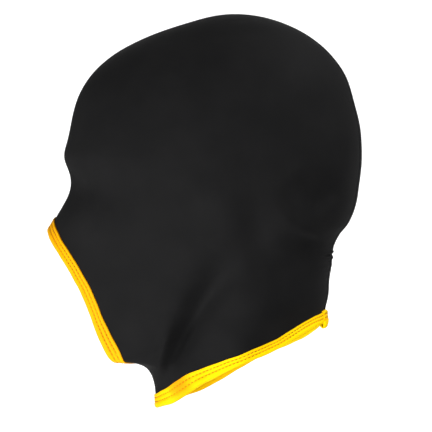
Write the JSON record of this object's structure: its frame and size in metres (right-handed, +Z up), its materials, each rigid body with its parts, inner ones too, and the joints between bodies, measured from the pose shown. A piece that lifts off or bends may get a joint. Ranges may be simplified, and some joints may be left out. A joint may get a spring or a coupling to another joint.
{
  "type": "bondage hood",
  "caption": "Close-fitting stretch-knit hood that covers crown, eyes, ears and throat, with tape-bound openings for the lower face and the slanted neck edge.",
  "frame": {"origin": "inside of the crown's top on the centre line, where the hood sits on a head", "axes": "+Z up, -Y towards the face opening, +X to the wearer's left"},
  "size_m": [0.165, 0.2131, 0.2622],
  "materials": {
    "knit": "matte black stretch knit",
    "binding": "folded yellow tape, sewn in two rows"
  },
  "bodies": {
    "root": {"left_panel": "knit", "right_panel": "knit", "face_binding": "binding", "neck_binding": "binding"}
  },
  "joints": []
}
